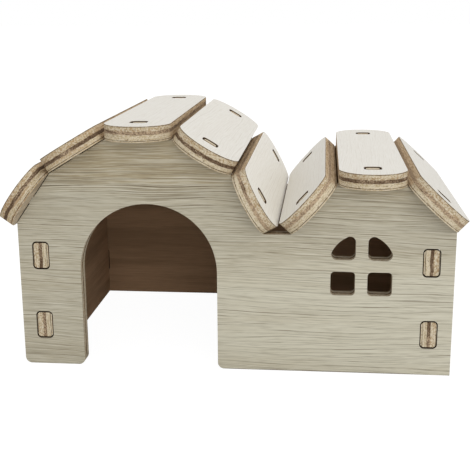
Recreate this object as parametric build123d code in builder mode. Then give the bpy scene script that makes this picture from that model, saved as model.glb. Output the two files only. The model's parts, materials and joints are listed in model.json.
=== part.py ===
from build123d import *

import os
from math import cos, radians, sin, tan

os.makedirs("parts", exist_ok=True)

# A small house for a dwarf hamster, slotted together from one thickness of plywood.
# The front and back panels share one roofline of flat facets, two side panels run between
# them on through tabs, and each facet carries one roof board on a pair of tabs.
# The origin is on the floor, under the middle of the whole house. The doorway faces -Y.

# Sheet and fits, in millimetres
ply = 5.0                      # thickness of every sheet
fit_gap = 0.25                 # on either face of a tab in its slot
slot_radius = 1.4              # corner radius of slots and mortises

# Roof boards
board_width = 21.0             # across a board, along the slope
board_joint = 0.35             # gap between neighbouring boards at a ridge
board_overhang = 9.0           # from the front or back panel's outer face to the board's tip
board_end_bulge = 9.0          # how far the round end's tip stands beyond its two corners
board_seat_gap = 0.3           # play between a board's underside and its facet
roof_tab_width = 4.2           # tab that stands on the middle of a facet
roof_tab_play = 0.6            # on either side of a tab along the slope, in its slot
roof_tab_recess = 0.35         # tab end below the board's upper face

# Roofline from the left wall edge to the right one, slopes in degrees
wall_height = 48.2             # left wall edge, where the roofline starts
left_gable_slopes = (54.7, 31.0, 0.0, -30.8, -61.2)
right_gable_slopes = (47.6, 0.0, -42.4)
left_eave_overhang = 1.45      # part of the first facet's length outside the wall edge
right_eave_overhang = 0.25     # the same for the last facet
valley_gap = 0.2               # between the two boards that lean into the valley

# Front and back panels
house_depth = 86.0             # outer face to outer face
foot_radius = 2.1              # rounded bottom corners

# Doorway, open to the floor under a half-round arch
door_left = 20.3               # from the left wall edge to the left jamb
door_width = 44.6
door_height = 55.0             # crown of the arch

# Window, two square panes under a half-round arch that is a little wider, parted by a cross
window_from_right = 29.0       # from the right wall edge to the middle of the window
window_sill = 26.2             # height of the lower edge
window_width = 19.4            # over the lower panes
window_bar = 3.9               # width of both bars
window_arch_radius = 10.45     # round the crossing of the bars
pane_height = 7.75             # lower panes
pane_radius = 1.3              # corner radius of the lower panes
arch_pane_radius = 1.8         # corner radius of the upper panes

# Side panels
side_inset = 4.75              # from the wall edge to the side panel's outer face
side_top_gap = 0.65            # under the roofline where it is lower
side_tab_height = 8.4
side_tab_margin = 9.45         # from the panel's top or bottom edge to the nearest tab
side_tab_play = 0.45           # above and below a tab in its mortise

# Sizes that follow
facet_length = board_width + board_joint
board_top = board_seat_gap + ply   # a board's upper face above its facet
roof_tab_height = board_top - roof_tab_recess
tab_radius = slot_radius - fit_gap
front_y = -house_depth / 2
back_y = house_depth / 2
tab_rows = (front_y + ply / 2, back_y - ply / 2)


def along(point, slope, distance):
    """The point a distance along a slope from another point, both as (x, z)."""
    return (point[0] + distance * cos(radians(slope)), point[1] + distance * sin(radians(slope)))


def facet_corners(start, slopes):
    """Corners of a gable, one facet length apart, from its first facet's start."""
    corners = [start]
    for slope in slopes:
        corners.append(along(corners[-1], slope, facet_length))
    return corners


# Roofline corners, x from the left wall edge and z from the floor. The valley is as wide as
# the two boards that lean over it need.
left_eave_slope = left_gable_slopes[0]
right_eave_slope = right_gable_slopes[-1]
valley_lean = sin(radians(right_gable_slopes[0])) - sin(radians(left_gable_slopes[-1]))
valley_width = board_top * valley_lean + valley_gap
left_wall_corner = (0.0, wall_height)
left_corners = facet_corners(
    along(left_wall_corner, left_eave_slope, -left_eave_overhang), left_gable_slopes
)
right_corners = facet_corners(along(left_corners[-1], 0.0, valley_width), right_gable_slopes)
right_wall_corner = along(right_corners[-1], right_eave_slope, -right_eave_overhang)
panel_length = right_wall_corner[0]

# The eave boards reach furthest out, so the middle of the house is half-way between them
left_board_end = along(left_corners[0], left_eave_slope, board_joint / 2)
right_board_end = along(right_corners[-1], right_eave_slope, -board_joint / 2)
left_reach = left_board_end[0] - board_top * sin(radians(left_eave_slope))
right_reach = right_board_end[0] - board_top * sin(radians(right_eave_slope))
middle_x = (left_reach + right_reach) / 2

# Both side panels are alike and stop under the roofline of the lower eave
left_underside = left_wall_corner[1] + side_inset * tan(radians(left_eave_slope))
right_underside = right_wall_corner[1] - side_inset * tan(radians(right_eave_slope))
side_height = min(left_underside, right_underside) - side_top_gap
left_side_x = side_inset + ply / 2
right_side_x = panel_length - side_inset - ply / 2
side_tab_heights = (
    side_tab_margin + side_tab_height / 2,
    side_height - side_tab_margin - side_tab_height / 2,
)
mortise_spots = [(x, z) for x in (left_side_x, right_side_x) for z in side_tab_heights]

# Arches and window
door_middle = door_left + door_width / 2
door_spring = door_height - door_width / 2
window_middle = panel_length - window_from_right
window_spring = window_sill + pane_height + window_bar / 2
window_reach = max(window_arch_radius, window_bar / 2 + pane_height)   # up or down from the bars


def facet_plane(start, slope):
    """Plane on a facet: x runs along the slope from its start, y is depth, z points outward."""
    slope_dir = (cos(radians(slope)), 0, sin(radians(slope)))
    outward = (-sin(radians(slope)), 0, cos(radians(slope)))
    return Plane(origin=(start[0] - middle_x, 0, start[1]), x_dir=slope_dir, z_dir=outward)


def upright_plane(depth):
    """Plane that faces the front: x from the left wall edge, y up from the floor."""
    return Plane(origin=(-middle_x, depth, 0), x_dir=(1, 0, 0), z_dir=(0, -1, 0))


left_planes = [facet_plane(*facet) for facet in zip(left_corners, left_gable_slopes)]
right_planes = [facet_plane(*facet) for facet in zip(right_corners, right_gable_slopes)]


def round_feet(sketch):
    """Round the corners on the floor line. Only the one at the right wall edge stays square."""
    fillet(sketch.vertices().group_by(Axis.Y)[0].sort_by(Axis.X)[:-1], foot_radius)


def add_roof_tabs(row):
    """Stand a tab on the middle of every facet of the gable panel that is being built."""
    for plane in left_planes + right_planes:
        with BuildSketch(plane) as tab:
            with Locations((facet_length / 2, row)):
                RectangleRounded(roof_tab_width, ply, tab_radius)
        extrude(tab.sketch, amount=roof_tab_height)


def finish(part, name):
    """Label a piece and write it."""
    part.label = name
    export_step(part, f"parts/{name}.step")


# Outline of both gable panels, drawn flat once: wall edges, roofline and mortises
with BuildSketch() as gable_outline:
    with BuildLine():
        Polyline(
            (0, 0),
            left_wall_corner,
            *left_corners[1:],
            *right_corners[:-1],
            right_wall_corner,
            (panel_length, 0),
            close=True,
        )
    make_face()
    with Locations(*mortise_spots):
        RectangleRounded(
            ply + 2 * fit_gap,
            side_tab_height + 2 * side_tab_play,
            slot_radius,
            mode=Mode.SUBTRACT,
        )

# The bars leave two square panes and two quarter-round ones above them
lower_half = (Align.CENTER, Align.MAX)
with BuildSketch() as window_panes:
    with Locations((window_middle, window_spring)):
        Circle(window_arch_radius)
        Rectangle(
            2 * window_arch_radius, window_arch_radius, align=lower_half, mode=Mode.SUBTRACT
        )
        Rectangle(window_width, window_bar / 2 + pane_height, align=lower_half)
        Rectangle(2 * window_arch_radius, window_bar, mode=Mode.SUBTRACT)
        Rectangle(window_bar, 2 * window_reach, mode=Mode.SUBTRACT)
    pane_rows = window_panes.vertices().group_by(Axis.Y)
    fillet(pane_rows[0] + pane_rows[1], pane_radius)
    fillet(window_panes.vertices().group_by(Axis.Y)[-2:], arch_pane_radius)

with BuildSketch() as doorway:
    with Locations((door_middle, door_spring)):
        Circle(door_width / 2)
        Rectangle(door_width, door_spring, align=lower_half)

with BuildPart() as front_panel:
    with BuildSketch(upright_plane(front_y + ply)) as front_outline:
        add(gable_outline.sketch)
        add(window_panes.sketch, mode=Mode.SUBTRACT)
        add(doorway.sketch, mode=Mode.SUBTRACT)
        round_feet(front_outline)
    extrude(amount=ply)
    add_roof_tabs(tab_rows[0])
finish(front_panel.part, "front_panel")

with BuildPart() as back_panel:
    with BuildSketch(upright_plane(back_y)) as back_outline:
        add(gable_outline.sketch)
        round_feet(back_outline)
    extrude(amount=ply)
    add_roof_tabs(tab_rows[1])
finish(back_panel.part, "back_panel")


def side_panel(wall_x):
    """Upright panel between the gable panels, with two tabs through each of them."""
    with BuildPart() as panel:
        with BuildSketch(Plane.YZ.offset(wall_x - middle_x - ply / 2)):
            with Locations((0, side_height / 2)):
                Rectangle(house_depth - 2 * ply, side_height)
        extrude(amount=ply)
        # Each pair of tabs is the two ends of one bar that runs from face to face
        with BuildSketch(upright_plane(back_y)):
            with Locations(*[(wall_x, height) for height in side_tab_heights]):
                RectangleRounded(ply, side_tab_height, tab_radius)
        extrude(amount=house_depth)
    return panel.part


finish(side_panel(left_side_x), "left_side_panel")
finish(side_panel(right_side_x), "right_side_panel")


def roof_board(plane):
    """Board on one facet: straight long edges, round ends and a slot over each tab."""
    near_edge = board_joint / 2
    far_edge = near_edge + board_width
    tip = house_depth / 2 + board_overhang
    shoulder = tip - board_end_bulge
    with BuildPart() as board:
        with BuildSketch(plane.offset(board_seat_gap)):
            with BuildLine():
                Line((near_edge, shoulder), (near_edge, -shoulder))
                ThreePointArc((near_edge, -shoulder), (facet_length / 2, -tip), (far_edge, -shoulder))
                Line((far_edge, -shoulder), (far_edge, shoulder))
                ThreePointArc((far_edge, shoulder), (facet_length / 2, tip), (near_edge, shoulder))
            make_face()
            with Locations(*[(facet_length / 2, row) for row in tab_rows]):
                RectangleRounded(
                    roof_tab_width + 2 * roof_tab_play,
                    ply + 2 * fit_gap,
                    slot_radius,
                    mode=Mode.SUBTRACT,
                )
        extrude(amount=ply)
    return board.part


for side, planes in (("left", left_planes), ("right", right_planes)):
    for number, plane in enumerate(planes, start=1):
        finish(roof_board(plane), f"{side}_roof_board_{number}")
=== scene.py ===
"""Looks of a small plywood hamster house: laminated plywood sheets, studio floor, light, camera."""

import json
from math import cos, radians, sin

import bmesh
import bpy
from mathutils import Matrix, Vector


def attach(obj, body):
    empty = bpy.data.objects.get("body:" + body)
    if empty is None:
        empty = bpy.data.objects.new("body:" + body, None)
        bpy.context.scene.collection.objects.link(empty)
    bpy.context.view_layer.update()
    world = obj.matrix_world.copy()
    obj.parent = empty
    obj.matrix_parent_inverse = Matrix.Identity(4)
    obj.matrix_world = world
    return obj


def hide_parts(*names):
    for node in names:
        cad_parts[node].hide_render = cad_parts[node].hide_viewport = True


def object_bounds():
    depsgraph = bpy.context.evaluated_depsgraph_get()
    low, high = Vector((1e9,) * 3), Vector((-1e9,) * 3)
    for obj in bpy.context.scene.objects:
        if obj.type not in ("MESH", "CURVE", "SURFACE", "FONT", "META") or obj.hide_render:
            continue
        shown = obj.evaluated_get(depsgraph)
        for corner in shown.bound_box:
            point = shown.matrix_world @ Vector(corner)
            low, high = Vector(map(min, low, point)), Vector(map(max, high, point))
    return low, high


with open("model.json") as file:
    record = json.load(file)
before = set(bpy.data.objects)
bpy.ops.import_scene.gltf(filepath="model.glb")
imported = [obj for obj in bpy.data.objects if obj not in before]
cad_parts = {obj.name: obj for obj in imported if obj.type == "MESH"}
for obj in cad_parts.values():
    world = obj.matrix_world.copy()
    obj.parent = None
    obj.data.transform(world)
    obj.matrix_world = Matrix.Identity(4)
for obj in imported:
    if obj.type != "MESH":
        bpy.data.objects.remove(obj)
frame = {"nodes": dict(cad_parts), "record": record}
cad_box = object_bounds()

MM = 0.001                       # metres in a millimetre

# Mesh of the visual sheets
WELD = 0.002 * MM                # points closer than this are one
EDGE_ROUND = 0.13 * MM           # rounding of the outside edges
ROUND_STEPS = 2
ROUND_PROFILE = 0.5              # a quarter circle
FLAT_FACE_WEIGHT = 100           # flat faces shade flat up to their rounded rims
FLAT_ANGLE = radians(1.0)        # faces that turn less than this are one face
SHARP_ANGLE = radians(35.0)      # edges that turn more than this are sharp
CUT_LEAN = 0.1                   # a cut face's normal leans outward by less than this
SMALL_HOLE = 17 * MM             # slots, mortises and panes are smaller than this
MORTISE_SPOT = 55 * MM           # mortises are further than this from the middle, panes nearer

# Places on the sheets, in millimetres from a sheet's middle along its grain
LONG_EDGE_END = 42.5             # the boards' long edges end here
ROUND_END_START = 44.5           # and their round ends start here
TAB_ROOT = 38.3                  # the side panels' tabs start here
TAB_END = 42.85

# Plywood from its outer face inwards, as shares of the sheet's thickness
FILM = 0.010                     # printed face film, then bare ply
FACE_GLUE = (0.018, 0.062)       # dark glue line right under the film
CORE = (0.38, 0.605)
BACK_GLUE = (0.872, 0.918)
BLUR = 0.014                     # how softly one ply runs into the next
CORE_WANDER = 0.15               # range in which the core's edges stray
DARKENED_RIM = (0.01, 0.07)         # from the scorching and painted shade of a hole's rim to those of its wall

# Grit of the cut plies, which runs from tan to pale or from brown to light core
FINE_SHARE = 0.45                # share of fine noise in it, the rest is layers
PALE_START = 0.37                # grit above this starts to turn a tan ply pale
PALE_START_BY_RUST = 0.05        # and starts later by this on a rusty piece
PALE_SPAN = 0.23
CORE_LIFT = 0.07                 # how much the core is lighter than its grit says
CORE_LIFT_BY_DARKNESS = -0.20
CORE_SPECKS = 0.45               # strength of the core's specks
CORE_SPECKS_BY_DARKNESS = 0.25
LONG_EDGE_STREAKS = 0.65         # strength of the streaks on the boards' long edges

# Colours, linear
PLY_PALE = (0.67, 0.585, 0.43, 1)
PLY_TAN = (0.43, 0.335, 0.20, 1)
PLY_CREAM = (0.72, 0.64, 0.52, 1)         # pale specks in the tan plies
PLY_AMBER = (0.62, 0.45, 0.24, 1)         # wide patches in the rustier plies
PLY_ORANGE = (0.68, 0.52, 0.33, 1)        # long edges of the boards
PLY_RUST = (0.36, 0.22, 0.11, 1)
PORE = (0.16, 0.10, 0.05, 1)
CORE_BROWN = (0.155, 0.102, 0.062, 1)
CORE_LIGHT = (0.50, 0.375, 0.25, 1)
CORE_SPECK = (0.065, 0.035, 0.02, 1)
GLUE_DARK = (0.085, 0.055, 0.03, 1)
SCORCH_AND_SHADE = (0.046, 0.021, 0.007, 1)         # walls of slots, mortises and panes: laser scorching and painted shade; tab sides in mortises: painted shade; bottom edges: painted contact shadow
INSIDE_TONE = (0.45, 0.285, 0.17, 1)      # bare inner faces of the upright panels
UNDER_TONE = (0.60, 0.51, 0.385, 1)       # bare undersides of the roof boards

# How much laser scorching and painted shade show, from 0 to 1
HOLE_SCORCH_AND_SHADE = 0.95               # slots and mortises
PANE_SHARE = 0.15                # share of it that window panes get
BOARD_RIM_SCORCH_AND_SHADE = 0.40          # rims of the boards' slots
# painted shade on the side panels' tabs where they sit in the mortises
TAB_FLANK_SHADE = 0.9

# Cut edges piece by piece: how rusty, how dark the core, how far it lies from the middle
EDGES = {
    # front_panel's pale cut edges are partly painted light on its doorway's jambs;
    # left_roof_board_1's dark, rusty ones are partly its own tone and partly painted shade
    "front_panel": (-1.5, 0.5, 0.0),
    "left_side_panel": (0.0, 0.65, 0.0),
    "right_side_panel": (0.0, 0.6, 0.0),
    "left_roof_board_1": (1.0, 1.0, -0.06),
    "left_roof_board_2": (0.6, 0.8, 0.02),
    "left_roof_board_3": (0.2, 0.15, -0.07),
    "left_roof_board_4": (0.1, 0.9, 0.02),
    "left_roof_board_5": (-0.3, 0.0, 0.02),
    "right_roof_board_1": (0.1, -0.35, -0.06),
    "right_roof_board_2": (0.2, 0.75, -0.03),
    "right_roof_board_3": (0.0, -0.25, 0.0),
}
OTHER_EDGES = (0.0, -0.4, 0.0)

# Painted light and shade on single boards' face films: left_roof_board_5 lighter as painted light,
# right_roof_board_3 darker as painted shade, for how light falls on their slopes
FILM_LIGHT_AND_SHADE_LEVELS = {"left_roof_board_5": 1.10, "right_roof_board_3": 0.94}

# Face films by material slot: ground, pale and brown tones, dark and light streaks, and how
# strong the print is. Only the upright panels' faces get a pale tone.
FILMS = {
    "gable_panel": {
        "ground": (0.46, 0.425, 0.325, 1),
        "pale": (0.585, 0.555, 0.44, 1),
        "brown": (0.365, 0.298, 0.18, 1),
        "streak": (0.14, 0.11, 0.062, 1),
        "light": (0.68, 0.65, 0.54, 1),
        "print": 1.0,
    },
    "roof_board": {
        "ground": (0.725, 0.695, 0.63, 1),
        "brown": (0.66, 0.615, 0.53, 1),
        "streak": (0.50, 0.44, 0.36, 1),
        "light": (0.78, 0.765, 0.72, 1),
        "print": 0.42,
    },
}
FILMS["side_panel"] = FILMS["gable_panel"]

# Broad tones of the upright panels' faces: the heights and places in metres where each starts
# and where it is full, and how strong it is
TONE_WANDER = 22 * MM            # range in which the heights below stray
PALE_HEIGHTS = (42 * MM, 33 * MM)
PALE_PLACES = (-30 * MM, 2 * MM)         # along X, across the doorway
PALE_SHARES = (0.1, 1.0)                 # strength of the pale tone at those places
BROWN_HEIGHTS = (54 * MM, 66 * MM)
BROWN_SHARE = 0.9
BOLD_HEIGHTS = (50 * MM, 62 * MM)
BOLDNESS = (1.0, 1.5)                    # strength of the lines under and over those heights

# Printed grain
GRAIN_SWAY = 7.0                 # range in millimetres in which the grain sways
GRAIN_TILT = 0.02                # its rise per millimetre along X
STRAND_FLOOR = 0.75              # strands show by how much bolder than this the lines are
LINE_HALF = 0.10                 # half a line's width, as a share of the lines' spacing
STRIP = (0.13, 0.27)             # the pale strip beside it
STRIP_BLUR = 0.04
STRIP_LIGHT = 0.40
LINES = {                        # by their dashes: spacing in millimetres, wander, strength
    "short_dash": (1.9, 2.0, 0.84),
    "long_dash": (1.15, 3.0, 0.70),
}

# Painted contact shadow at the bottom edges, in metres, and painted shade on the tabs, in
# millimetres
FOOT_SHADOW_HEIGHTS = (0.32 * MM, 0.12 * MM)
TAB_BLUR = 0.06

# Noises: cycles per millimetre along the three axes of a sheet, then detail and roughness
NOISES = {
    "tone": ((0.02, 0.07, 0.0), 3.0, 0.55),
    "sway": ((0.011, 0.05, 0.0), 2.0, 0.55),
    "drift": ((0.008, 0.09, 0.0), 3.0, 0.55),
    "fibre": ((0.10, 2.9, 0.0), 2.0, 0.7),
    "cluster": ((0.014, 0.11, 0.0), 2.0, 0.55),
    "short_dash": ((0.055, 0.9, 0.0), 3.0, 0.65),
    "long_dash": ((0.025, 0.6, 0.0), 5.0, 0.65),
    "strand": ((0.022, 1.5, 0.0), 1.0, 0.5),
    "line_drift": ((0.013, 0.12, 0.0), 3.5, 0.5),
    "core_edge": ((0.30, 0.30, 0.0), 4.0, 0.55),
    "core_shade": ((0.09, 0.09, 0.0), 3.0, 0.55),
    "fine": ((2.2, 2.2, 2.8), 2.0, 0.6),
    "layers": ((0.20, 0.20, 2.4), 3.0, 0.6),
    "speck": ((1.5, 1.5, 2.2), 1.0, 0.6),
    "pore": ((0.9, 0.9, 3.2), 1.0, 0.55),
    "patch": ((0.06, 0.06, 1.2), 2.0, 0.55),
    "darkening": ((0.07, 0.07, 0.9), 3.0, 0.55),
    "wear": ((0.5, 0.5, 0.0), 2.0, 0.55),
    "stripe": ((0.012, 0.16, 0.0), 4.0, 0.55),
    "foot_shadow": ((0.02, 0.02, 0.0), 3.0, 0.55),
}

# Where a noise's value sets in and where it is full, and its strength at either
MASKS = {
    "drift": (0.38, 0.66, 0.0, 0.28),
    "pale_fibre": (0.52, 0.30, 0.0, 0.45),
    "dark_fibre": (0.50, 0.72, 0.0, 0.42),
    "dark_strand": (0.52, 0.66, 0.0, 0.65),
    "pale_strand": (0.48, 0.34, 0.0, 0.50),
    "cluster": (0.34, 0.60, 0.24, 1.0),
    "short_dash": (0.40, 0.56, 0.0, 1.0),
    "long_dash": (0.42, 0.60, 0.0, 1.0),
    "patch": (0.42, 0.62, 0.0, 0.5),
    "darkening": (0.46, 0.64, 0.0, 0.7),
    "pore": (0.63, 0.70, 0.0, 0.65),
    "rust_speck": (0.53, 0.61, 0.0, 0.6),
    "cream_speck": (0.47, 0.38, 0.0, 0.5),
    "long_edge": (0.35, 0.60, 0.0, 1.0),
    "core_shade": (0.30, 0.70, -0.12, 0.12),
    "core_light": (0.38, 0.62, 0.0, 1.0),
    "core_speck": (0.47, 0.57, 0.0, 1.0),
    "wear": (0.35, 0.55, 0.45, 0.9),
    "stripe": (0.40, 0.66, 0.0, 0.45),
    "bare_fibre": (0.35, 0.7, 0.0, 0.25),
    "foot_shadow": (0.42, 0.52, 0.15, 0.9),
}

# Each sheet is cut from its own spot of the print, this many millimetres from the last one's
CUT_STEP = (131.0, 57.0)

# Finish: bump, then roughness and specular level of film and of bare or scorched wood
BUMP_STRENGTH = 0.6
BUMP_HEIGHT = 0.06 * MM
FIBRE_RELIEF = 0.3               # relief of the film's fibres, against 1 for cut grit
FIBRE_RANGE = (0.3, 0.7)         # fibre values between which the film's roughness runs
FILM_ROUGHNESS = (0.46, 0.58)
WOOD_ROUGHNESS = 0.9
FILM_SPECULAR = 0.45
WOOD_SPECULAR = 0.12

# Studio, in metres and watts
WHITE = (1, 1, 1, 1)
FLOOR_REACH = 6.0                # from the floor's middle to its edges
FLOOR_GLOW = 0.965
FLOOR_VEIL = (0.13, 0.13, 0.13, 1)       # part of the seen floor that takes the shadow
FLOOR_CARD = (0.75, 0.74, 0.72, 1)       # floor as the light bounces off it
SKY_LEVEL = 0.7
LAMP_TARGET = (0, 0, 0.04)
LAMPS = {                        # place, size, power
    "top_lamp": ((0.20, 0.08, 0.81), 0.40, 1.5),
    "front_lamp": ((0.36, -0.90, 0.29), 0.80, 3.15),
}

# Camera, fitted to the photograph
CAMERA_SPOT = (29.22 * MM, -321.67 * MM, 115.11 * MM)
CAMERA_PITCH = radians(13.98)    # downwards
CAMERA_YAW = radians(-5.66)      # to the left of +Y
CAMERA_ROLL = radians(-0.37)
SENSOR_WIDTH = 36.0              # millimetres, as is the lens
LENS = 69.74
CLIP = (10 * MM, 20.0)


def new_node(tree, kind, inputs=None, **settings):
    """A shader node. An input is a socket to link from, or a value."""
    made = tree.nodes.new("ShaderNode" + kind)
    for name, value in settings.items():
        setattr(made, name, value)
    for key, value in (inputs or {}).items():
        if isinstance(value, bpy.types.NodeSocket):
            tree.links.new(value, made.inputs[key])
        else:
            made.inputs[key].default_value = value
    return made


def calculate(tree, operation, *values):
    """The result of a Math node."""
    return new_node(tree, "Math", dict(enumerate(values)), operation=operation).outputs[0]


def product(tree, first, *others):
    """Several values multiplied."""
    for other in others:
        first = calculate(tree, "MULTIPLY", first, other)
    return first


def vector_math(tree, operation, first, second):
    """The result of a Vector Math node."""
    return new_node(tree, "VectorMath", {0: first, 1: second}, operation=operation).outputs[0]


def noise(tree, name, vector):
    """The named noise, from 0 to 1, at a place on a sheet in millimetres."""
    scale, detail, roughness = NOISES[name]
    inputs = {
        "Vector": vector_math(tree, "MULTIPLY", vector, scale),
        "Scale": 1.0,
        "Detail": detail,
        "Roughness": roughness,
    }
    return new_node(tree, "TexNoise", inputs).outputs["Fac"]


def swing(tree, name, vector):
    """The named noise, from -0.5 to 0.5."""
    return calculate(tree, "SUBTRACT", noise(tree, name, vector), 0.5)


def ramp(tree, value, low, high, start=0.0, end=1.0):
    """From start to end as a value goes from low to high, and level outside them."""
    inputs = {
        "Value": value,
        "From Min": low,
        "From Max": high,
        "To Min": start,
        "To Max": end,
    }
    return new_node(tree, "MapRange", inputs, interpolation_type="SMOOTHSTEP").outputs[0]


def mask(tree, name, value, strength=1.0):
    """How strongly a noise's value shows, as its row of MASKS says."""
    low, high, start, end = MASKS[name]
    return ramp(tree, value, low, high, start * strength, end * strength)


def mix(tree, factor, first, second):
    """Two colours mixed."""
    inputs = {0: factor, 6: first, 7: second}
    return new_node(tree, "Mix", inputs, data_type="RGBA").outputs[2]


def mix_value(tree, factor, first, second):
    """Two numbers mixed."""
    inputs = {0: factor, 2: first, 3: second}
    return new_node(tree, "Mix", inputs, data_type="FLOAT").outputs[0]


def band(tree, value, limits, blur):
    """1 between two values and 0 outside them."""
    rise = ramp(tree, value, limits[0] - blur, limits[0] + blur)
    fall = ramp(tree, value, limits[1] - blur, limits[1] + blur)
    return calculate(tree, "SUBTRACT", rise, fall)


def is_gable(outward):
    """Whether a sheet with this outward direction is the front or back panel."""
    return abs(outward.y) > 0.5


def sheet_place(mesh, middle):
    """Origin, axes and thickness of a flat sheet: X along the grain, Z out of its outer face."""
    sides = {}
    for face in mesh.polygons:
        # Adding zero makes one side of 0.0 and -0.0
        sides.setdefault(tuple(round(c, 2) + 0.0 for c in face.normal), []).append(face)
    flat = sorted(sides.values(), key=lambda faces: sum(face.area for face in faces))[-2:]
    flat = [max(faces, key=lambda face: face.area) for faces in flat]
    inner, outer = sorted(flat, key=lambda face: face.normal.dot(face.center - middle))
    outward = outer.normal.copy()
    grain = Vector((1, 0, 0)) if is_gable(outward) else Vector((0, 1, 0))
    rotation = Matrix((grain, outward.cross(grain), outward)).transposed()
    origin = middle + outward * outward.dot(outer.center - middle)
    return origin, rotation, outward.dot(outer.center - inner.center)


def hole_walls(shape, outward):
    """The cut faces round each small hole of a flat sheet, hole by hole, and their middle."""
    cut = {face for face in shape.faces if abs(face.normal.dot(outward)) < CUT_LEAN}
    while cut:
        group = [cut.pop()]
        for face in group:
            beside = {other for edge in face.edges for other in edge.link_faces} & cut
            cut -= beside
            group.extend(beside)
        points = [vert.co for face in group for vert in face.verts]
        if max((point - points[0]).length for point in points) < SMALL_HOLE:
            yield group, sum(points, Vector()) / len(points)


def mark_holes(shape, outward):
    """A layer of the mesh that says how much scorching and painted shade each face takes, as a share
    of a slot's.
    """
    scorch_and_shade = shape.faces.layers.float.new("scorch_and_shade")
    for group, middle in hole_walls(shape, outward):
        pane = is_gable(outward) and abs(middle.x) < MORTISE_SPOT
        for face in group:
            face[scorch_and_shade] = PANE_SHARE if pane else 1.0
    return scorch_and_shade


def round_edges(shape, scorch_and_shade):
    """Round the outside edges that stay clear of notches. A rounded rim takes the scorching and
    painted shade of its hole.
    """
    sharp = [edge for edge in shape.edges if edge.calc_face_angle() > SHARP_ANGLE]
    notches = {vert for edge in sharp if not edge.is_convex for vert in edge.verts}
    outside = [edge for edge in sharp if edge.is_convex and notches.isdisjoint(edge.verts)]
    rounded = bmesh.ops.bevel(
        shape,
        geom=outside,
        offset=EDGE_ROUND,
        offset_type="OFFSET",
        segments=ROUND_STEPS,
        profile=ROUND_PROFILE,
        affect="EDGES",
        clamp_overlap=True,
    )["faces"]
    for _ in range(ROUND_STEPS):
        beside = [[other for edge in face.edges for other in edge.link_faces] for face in rounded]
        rim_darkening = [max(other[scorch_and_shade] for other in others) for others in beside]
        for face, darkening in zip(rounded, rim_darkening):
            face[scorch_and_shade] = darkening
    bmesh.ops.remove_doubles(shape, verts=shape.verts, dist=WELD)


def sheet_mesh(source, name, outward):
    """The CAD sheet with its faces joined up, its holes marked and its outside edges rounded."""
    shape = bmesh.new()
    shape.from_mesh(source)
    bmesh.ops.remove_doubles(shape, verts=shape.verts, dist=WELD)
    bmesh.ops.dissolve_limit(
        shape, angle_limit=FLAT_ANGLE, verts=shape.verts, edges=shape.edges
    )
    round_edges(shape, mark_holes(shape, outward))
    for face in shape.faces:
        face.smooth = True
    mesh = bpy.data.meshes.new(name)
    shape.to_mesh(mesh)
    shape.free()
    mesh.set_sharp_from_angle(angle=SHARP_ANGLE)
    return mesh


def broad_tones(tree, spot, height, x, film):
    """Broad tones of the upright panels' faces: paler low down beside the doorway, browner and
    bolder high up.
    """
    level = calculate(tree, "MULTIPLY_ADD", swing(tree, "tone", spot), TONE_WANDER, height)
    low = ramp(tree, level, *PALE_HEIGHTS)
    beside = ramp(tree, x, *PALE_PLACES, *PALE_SHARES)
    ground = mix(tree, product(tree, low, beside), film["ground"], film["pale"])
    brown = ramp(tree, level, *BROWN_HEIGHTS, 0.0, BROWN_SHARE)
    return mix(tree, brown, ground, film["brown"]), ramp(tree, level, *BOLD_HEIGHTS, *BOLDNESS)


def grain_lines(tree, along, spacing, wander):
    """Thin lines along X that wander over and under each other's level, and the strips beside."""
    y = new_node(tree, "SeparateXYZ", {0: along}).outputs["Y"]
    rows = calculate(tree, "DIVIDE", y, spacing)
    level = calculate(tree, "MULTIPLY_ADD", noise(tree, "line_drift", along), wander, rows)
    off = calculate(tree, "PINGPONG", level, 0.5)
    return ramp(tree, off, LINE_HALF, 0.0), band(tree, off, STRIP, STRIP_BLUR)


def swaying(tree, spot):
    """A place on the sheet, moved across the grain so that the grain sways."""
    x = new_node(tree, "SeparateXYZ", {0: spot}).outputs["X"]
    tilt = calculate(tree, "MULTIPLY", x, GRAIN_TILT)
    rise = calculate(tree, "MULTIPLY_ADD", swing(tree, "sway", spot), GRAIN_SWAY, tilt)
    lift = new_node(tree, "CombineXYZ", {"Y": rise}).outputs[0]
    return vector_math(tree, "ADD", spot, lift)


def film_colour(tree, spot, film, ground, bold):
    """Printed wood grain along X: drifting tone, fibres, strands, and lines broken into dashes."""
    along = swaying(tree, spot)
    strength = film["print"]
    drift = mask(tree, "drift", noise(tree, "drift", along), strength)
    colour = mix(tree, drift, ground, film["brown"])
    fibre = noise(tree, "fibre", along)
    colour = mix(tree, mask(tree, "pale_fibre", fibre, strength), colour, film["light"])
    colour = mix(tree, mask(tree, "dark_fibre", fibre, strength), colour, film["streak"])
    strand = noise(tree, "strand", along)
    busy = calculate(tree, "SUBTRACT", bold, STRAND_FLOOR)
    dark_strand = product(tree, mask(tree, "dark_strand", strand, strength), busy)
    colour = mix(tree, dark_strand, colour, film["streak"])
    pale_strand = product(tree, mask(tree, "pale_strand", strand, strength), busy)
    colour = mix(tree, pale_strand, colour, film["light"])
    clusters = mask(tree, "cluster", noise(tree, "cluster", along))
    for dash, (spacing, wander, weight) in LINES.items():
        lines, strips = grain_lines(tree, along, spacing, wander)
        breaks = mask(tree, dash, noise(tree, dash, along))
        shown = product(tree, breaks, clusters, strength)
        colour = mix(tree, product(tree, strips, shown, STRIP_LIGHT), colour, film["light"])
        colour = mix(tree, product(tree, lines, shown, weight, bold), colour, film["streak"])
    return colour, fibre


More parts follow.
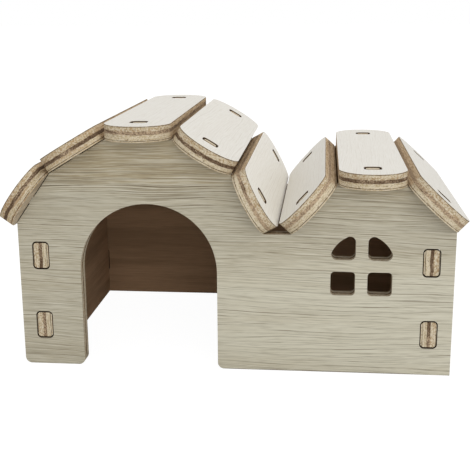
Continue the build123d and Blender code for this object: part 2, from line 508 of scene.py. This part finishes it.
def tan_ply(tree, spot, depth, flank, rust, grit, speck):
    """The plies beside the core: tan to pale, rustier in patches, with pores and specks."""
    start = PALE_START + PALE_START_BY_RUST * rust
    tan = mix(tree, ramp(tree, grit, start, start + PALE_SPAN), PLY_TAN, PLY_PALE)
    rustier = max(0.0, rust)
    tan = mix(tree, mask(tree, "patch", noise(tree, "patch", spot), rustier), tan, PLY_AMBER)
    tan = mix(tree, mask(tree, "darkening", noise(tree, "darkening", spot), rustier), tan, PLY_RUST)
    tan = mix(tree, mask(tree, "pore", noise(tree, "pore", spot)), tan, PORE)
    above_core = ramp(tree, depth, CORE[1], CORE[0])
    tan = mix(tree, product(tree, mask(tree, "rust_speck", speck), above_core), tan, PLY_RUST)
    tan = mix(tree, mask(tree, "cream_speck", speck), tan, PLY_CREAM)
    streaks = mask(tree, "long_edge", noise(tree, "layers", spot))
    streaked = mix(tree, streaks, PLY_RUST, PLY_ORANGE)
    return mix(tree, product(tree, flank, LONG_EDGE_STREAKS), tan, streaked)


def core_ply(tree, spot, dark, grit, speck):
    """The crossways core: brown or pale as the piece's darkness says, with dark specks."""
    shade = mask(tree, "core_shade", noise(tree, "core_shade", spot))
    lift = CORE_LIFT + CORE_LIFT_BY_DARKNESS * dark
    lightness = calculate(tree, "ADD", calculate(tree, "ADD", grit, shade), lift)
    core = mix(tree, mask(tree, "core_light", lightness), CORE_BROWN, CORE_LIGHT)
    strength = CORE_SPECKS + CORE_SPECKS_BY_DARKNESS * max(0.0, dark)
    return mix(tree, mask(tree, "core_speck", speck, strength), core, CORE_SPECK)


def ply_colour(tree, spot, depth, flank, rust, dark, core_shift):
    """Cut plywood: glue line, speckled tan ply, brown crossways core, tan ply and glue line."""
    grit = mix_value(tree, FINE_SHARE, noise(tree, "layers", spot), noise(tree, "fine", spot))
    speck = noise(tree, "speck", spot)
    tan = tan_ply(tree, spot, depth, flank, rust, grit, speck)
    core = core_ply(tree, spot, dark, grit, speck)
    edge = swing(tree, "core_edge", spot)
    wandering = calculate(tree, "MULTIPLY_ADD", edge, CORE_WANDER, depth)
    core_limits = [limit + core_shift for limit in CORE]
    colour = mix(tree, band(tree, wandering, core_limits, BLUR), tan, core)
    worn = mask(tree, "wear", noise(tree, "wear", spot))
    for limits in (FACE_GLUE, BACK_GLUE):
        line = product(tree, band(tree, depth, limits, BLUR / 2), worn)
        colour = mix(tree, line, colour, GLUE_DARK)
    return colour, grit


def bare_colour(tree, spot, tone, fibre):
    """Bare wood of an inner face or underside, with dark stripes and fibres along its grain."""
    colour = mix(tree, mask(tree, "stripe", noise(tree, "stripe", spot)), tone, PORE)
    return mix(tree, mask(tree, "bare_fibre", fibre), colour, PORE)


def scorched_and_shaded(tree, colour, scorch_and_shade, spot, depth, grain, height, slot):
    """Laser scorching with painted shade in and round small holes, painted shade on the tabs' sides
    in the mortises and a painted contact shadow here and there along the bottom edges.
    """
    # Hole walls and rims: laser scorching, darkened past it as painted shade of the narrow gaps
    rim = BOARD_RIM_SCORCH_AND_SHADE if slot == "roof_board" else HOLE_SCORCH_AND_SHADE
    hole_darkening = ramp(tree, depth, *DARKENED_RIM, rim, HOLE_SCORCH_AND_SHADE)
    colour = mix(tree, product(tree, scorch_and_shade, hole_darkening), colour, SCORCH_AND_SHADE)
    # Painted shade on the side panels' tabs inside the mortises
    if slot == "side_panel":
        reach = calculate(tree, "ABSOLUTE", grain)
        tab_flank_shade = band(tree, reach, (TAB_ROOT, TAB_END), TAB_BLUR)
        colour = mix(tree, product(tree, tab_flank_shade, TAB_FLANK_SHADE), colour, SCORCH_AND_SHADE)
    # Painted contact shadow: a patchy dark line along the bottom edges where the sheets stand on the
    # floor
    patchy = mask(tree, "foot_shadow", noise(tree, "foot_shadow", spot))
    contact_shadow = product(tree, ramp(tree, height, *FOOT_SHADOW_HEIGHTS), patchy)
    return mix(tree, contact_shadow, colour, SCORCH_AND_SHADE)


def sheet_material(name, place, slot, shift, edges, level):
    """Laminated plywood for one sheet, laid out from its outer face and along its grain."""
    origin, rotation, thickness = place
    material = bpy.data.materials.new(name)
    material.use_nodes = True
    tree = material.node_tree
    tree.nodes.clear()

    # The point in the house's axes, then in the sheet's own, in millimetres
    house_spot = new_node(tree, "TexCoord").outputs["Object"]
    x, _, height = new_node(tree, "SeparateXYZ", {0: house_spot}).outputs
    inputs = {
        "Vector": house_spot,
        "Location": origin,
        "Rotation": rotation.to_euler(),
        "Scale": (MM, MM, MM),
    }
    local = new_node(tree, "Mapping", inputs, vector_type="TEXTURE").outputs[0]
    grain, _, below = new_node(tree, "SeparateXYZ", {0: local}).outputs
    depth = calculate(tree, "MULTIPLY", below, -MM / thickness)
    spot = vector_math(tree, "ADD", local, shift)

    film = FILMS[slot]
    if slot == "roof_board":
        ground, bold = film["ground"], 1.0
        flank = ramp(tree, calculate(tree, "ABSOLUTE", grain), ROUND_END_START, LONG_EDGE_END)
        tone = UNDER_TONE
    else:
        ground, bold = broad_tones(tree, spot, height, x, film)
        flank = 0.0
        tone = INSIDE_TONE
    face, fibre = film_colour(tree, spot, film, ground, bold)
    # Painted light and shade: left_roof_board_5's film is lightened and right_roof_board_3's
    # darkened here, for how the light falls on them
    face = vector_math(tree, "MULTIPLY", face, (level, level, level))
    inner = calculate(tree, "GREATER_THAN", depth, 0.5)
    bare = bare_colour(tree, spot, tone, fibre)
    edge, grit = ply_colour(tree, spot, depth, flank, *edges)
    cut = band(tree, depth, (FILM, 1 - FILM), FILM / 2)
    colour = mix(tree, cut, mix(tree, inner, face, bare), edge)
    scorch_and_shade = new_node(tree, "Attribute", attribute_name="scorch_and_shade").outputs["Fac"]
    colour = scorched_and_shaded(tree, colour, scorch_and_shade, spot, depth, grain, height, slot)

    matt = calculate(tree, "MAXIMUM", calculate(tree, "MAXIMUM", inner, cut), scorch_and_shade)
    relief = mix_value(tree, cut, product(tree, fibre, FIBRE_RELIEF), grit)
    inputs = {"Strength": BUMP_STRENGTH, "Distance": BUMP_HEIGHT, "Height": relief}
    bump = new_node(tree, "Bump", inputs)
    film_roughness = ramp(tree, fibre, *FIBRE_RANGE, *FILM_ROUGHNESS)
    inputs = {
        "Base Color": colour,
        "Roughness": mix_value(tree, matt, film_roughness, WOOD_ROUGHNESS),
        "Specular IOR Level": mix_value(tree, matt, FILM_SPECULAR, WOOD_SPECULAR),
        "Normal": bump.outputs[0],
    }
    shader = new_node(tree, "BsdfPrincipled", inputs)
    new_node(tree, "OutputMaterial", {"Surface": shader.outputs[0]})
    return material


def add_sheet(node, slot, middle, number):
    """A cut plywood sheet in place of a CAD node, cut from its own spot of the printed film."""
    source = frame["nodes"][node].data
    place = sheet_place(source, middle)
    outward = place[1].col[2]
    shift = (CUT_STEP[0] * number, CUT_STEP[1] * number, 0.0)
    sheet = bpy.data.objects.new(node + "_sheet", sheet_mesh(source, node + "_sheet", outward))
    bpy.context.scene.collection.objects.link(sheet)
    sheet.data.materials.clear()
    edges = EDGES.get(node, OTHER_EDGES)
    level = FILM_LIGHT_AND_SHADE_LEVELS.get(node, 1.0)
    sheet.data.materials.append(sheet_material(node + "_ply", place, slot, shift, edges, level))
    normals = sheet.modifiers.new("even_faces", "WEIGHTED_NORMAL")
    normals.keep_sharp = True
    normals.weight = FLAT_FACE_WEIGHT
    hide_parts(node)
    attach(sheet, "root")


def seen_directly(tree):
    """1 where the camera, a reflection or a view through glass meets the surface."""
    path = new_node(tree, "LightPath").outputs
    seen = calculate(tree, "MAXIMUM", path["Is Camera Ray"], path["Is Glossy Ray"])
    return calculate(tree, "MAXIMUM", seen, path["Is Transmission Ray"])


def add_floor():
    """A wide pale floor that stays white to the eye and keeps a faint shadow."""
    shape = bmesh.new()
    bmesh.ops.create_grid(shape, x_segments=1, y_segments=1, size=FLOOR_REACH)
    mesh = bpy.data.meshes.new("floor")
    shape.to_mesh(mesh)
    shape.free()
    floor = bpy.data.objects.new("floor", mesh)
    bpy.context.scene.collection.objects.link(floor)
    material = bpy.data.materials.new("floor_white")
    material.use_nodes = True
    tree = material.node_tree
    tree.nodes.clear()
    glow = new_node(tree, "Emission", {"Color": WHITE, "Strength": FLOOR_GLOW})
    veil = new_node(tree, "BsdfDiffuse", {"Color": FLOOR_VEIL})
    white = new_node(tree, "AddShader", {0: glow.outputs[0], 1: veil.outputs[0]})
    card = new_node(tree, "BsdfDiffuse", {"Color": FLOOR_CARD})
    inputs = {0: seen_directly(tree), 1: card.outputs[0], 2: white.outputs[0]}
    both = new_node(tree, "MixShader", inputs)
    new_node(tree, "OutputMaterial", {"Surface": both.outputs[0]})
    mesh.materials.append(material)


def add_lamp(name, spot, size, power):
    """A square soft lamp aimed at the house."""
    light = bpy.data.lights.new(name, "AREA")
    light.shape = "SQUARE"
    light.size = size
    light.energy = power
    lamp = bpy.data.objects.new(name, light)
    lamp.location = spot
    aim = Vector(LAMP_TARGET) - Vector(spot)
    lamp.rotation_euler = aim.to_track_quat("-Z", "Y").to_euler()
    bpy.context.scene.collection.objects.link(lamp)


def add_world():
    """Even sky light, white where it is seen."""
    world = bpy.data.worlds.new("studio")
    world.use_nodes = True
    tree = world.node_tree
    tree.nodes.clear()
    level = mix_value(tree, seen_directly(tree), SKY_LEVEL, 1.0)
    sky = new_node(tree, "Background", {"Color": WHITE, "Strength": level})
    new_node(tree, "OutputWorld", {"Surface": sky.outputs[0]})
    bpy.context.scene.world = world


def add_camera():
    """The photograph's viewpoint."""
    pitch, yaw, roll = CAMERA_PITCH, CAMERA_YAW, CAMERA_ROLL
    ahead = Vector((sin(yaw) * cos(pitch), cos(yaw) * cos(pitch), -sin(pitch)))
    level_right = Vector((cos(yaw), -sin(yaw), 0))
    level_up = level_right.cross(ahead)
    right = level_right * cos(roll) + level_up * sin(roll)
    up = level_up * cos(roll) - level_right * sin(roll)
    lens = bpy.data.cameras.new("camera")
    lens.sensor_width = SENSOR_WIDTH
    lens.lens = LENS
    lens.clip_start, lens.clip_end = CLIP
    camera = bpy.data.objects.new("camera", lens)
    turn = Matrix((right, up, -ahead)).transposed().to_4x4()
    camera.matrix_world = Matrix.Translation(CAMERA_SPOT) @ turn
    bpy.context.scene.collection.objects.link(camera)
    bpy.context.scene.camera = camera


low, high = (Vector(corner) for corner in cad_box)
floor_middle = Vector(((low.x + high.x) / 2, (low.y + high.y) / 2, low.z))
for number, piece in enumerate(frame["record"]["subparts"], start=1):
    add_sheet(piece["node"], piece["material_slot"], floor_middle, number)

add_floor()
for name, lamp in LAMPS.items():
    add_lamp(name, *lamp)
add_world()
add_camera()
bpy.context.scene.view_settings.view_transform = "Standard"
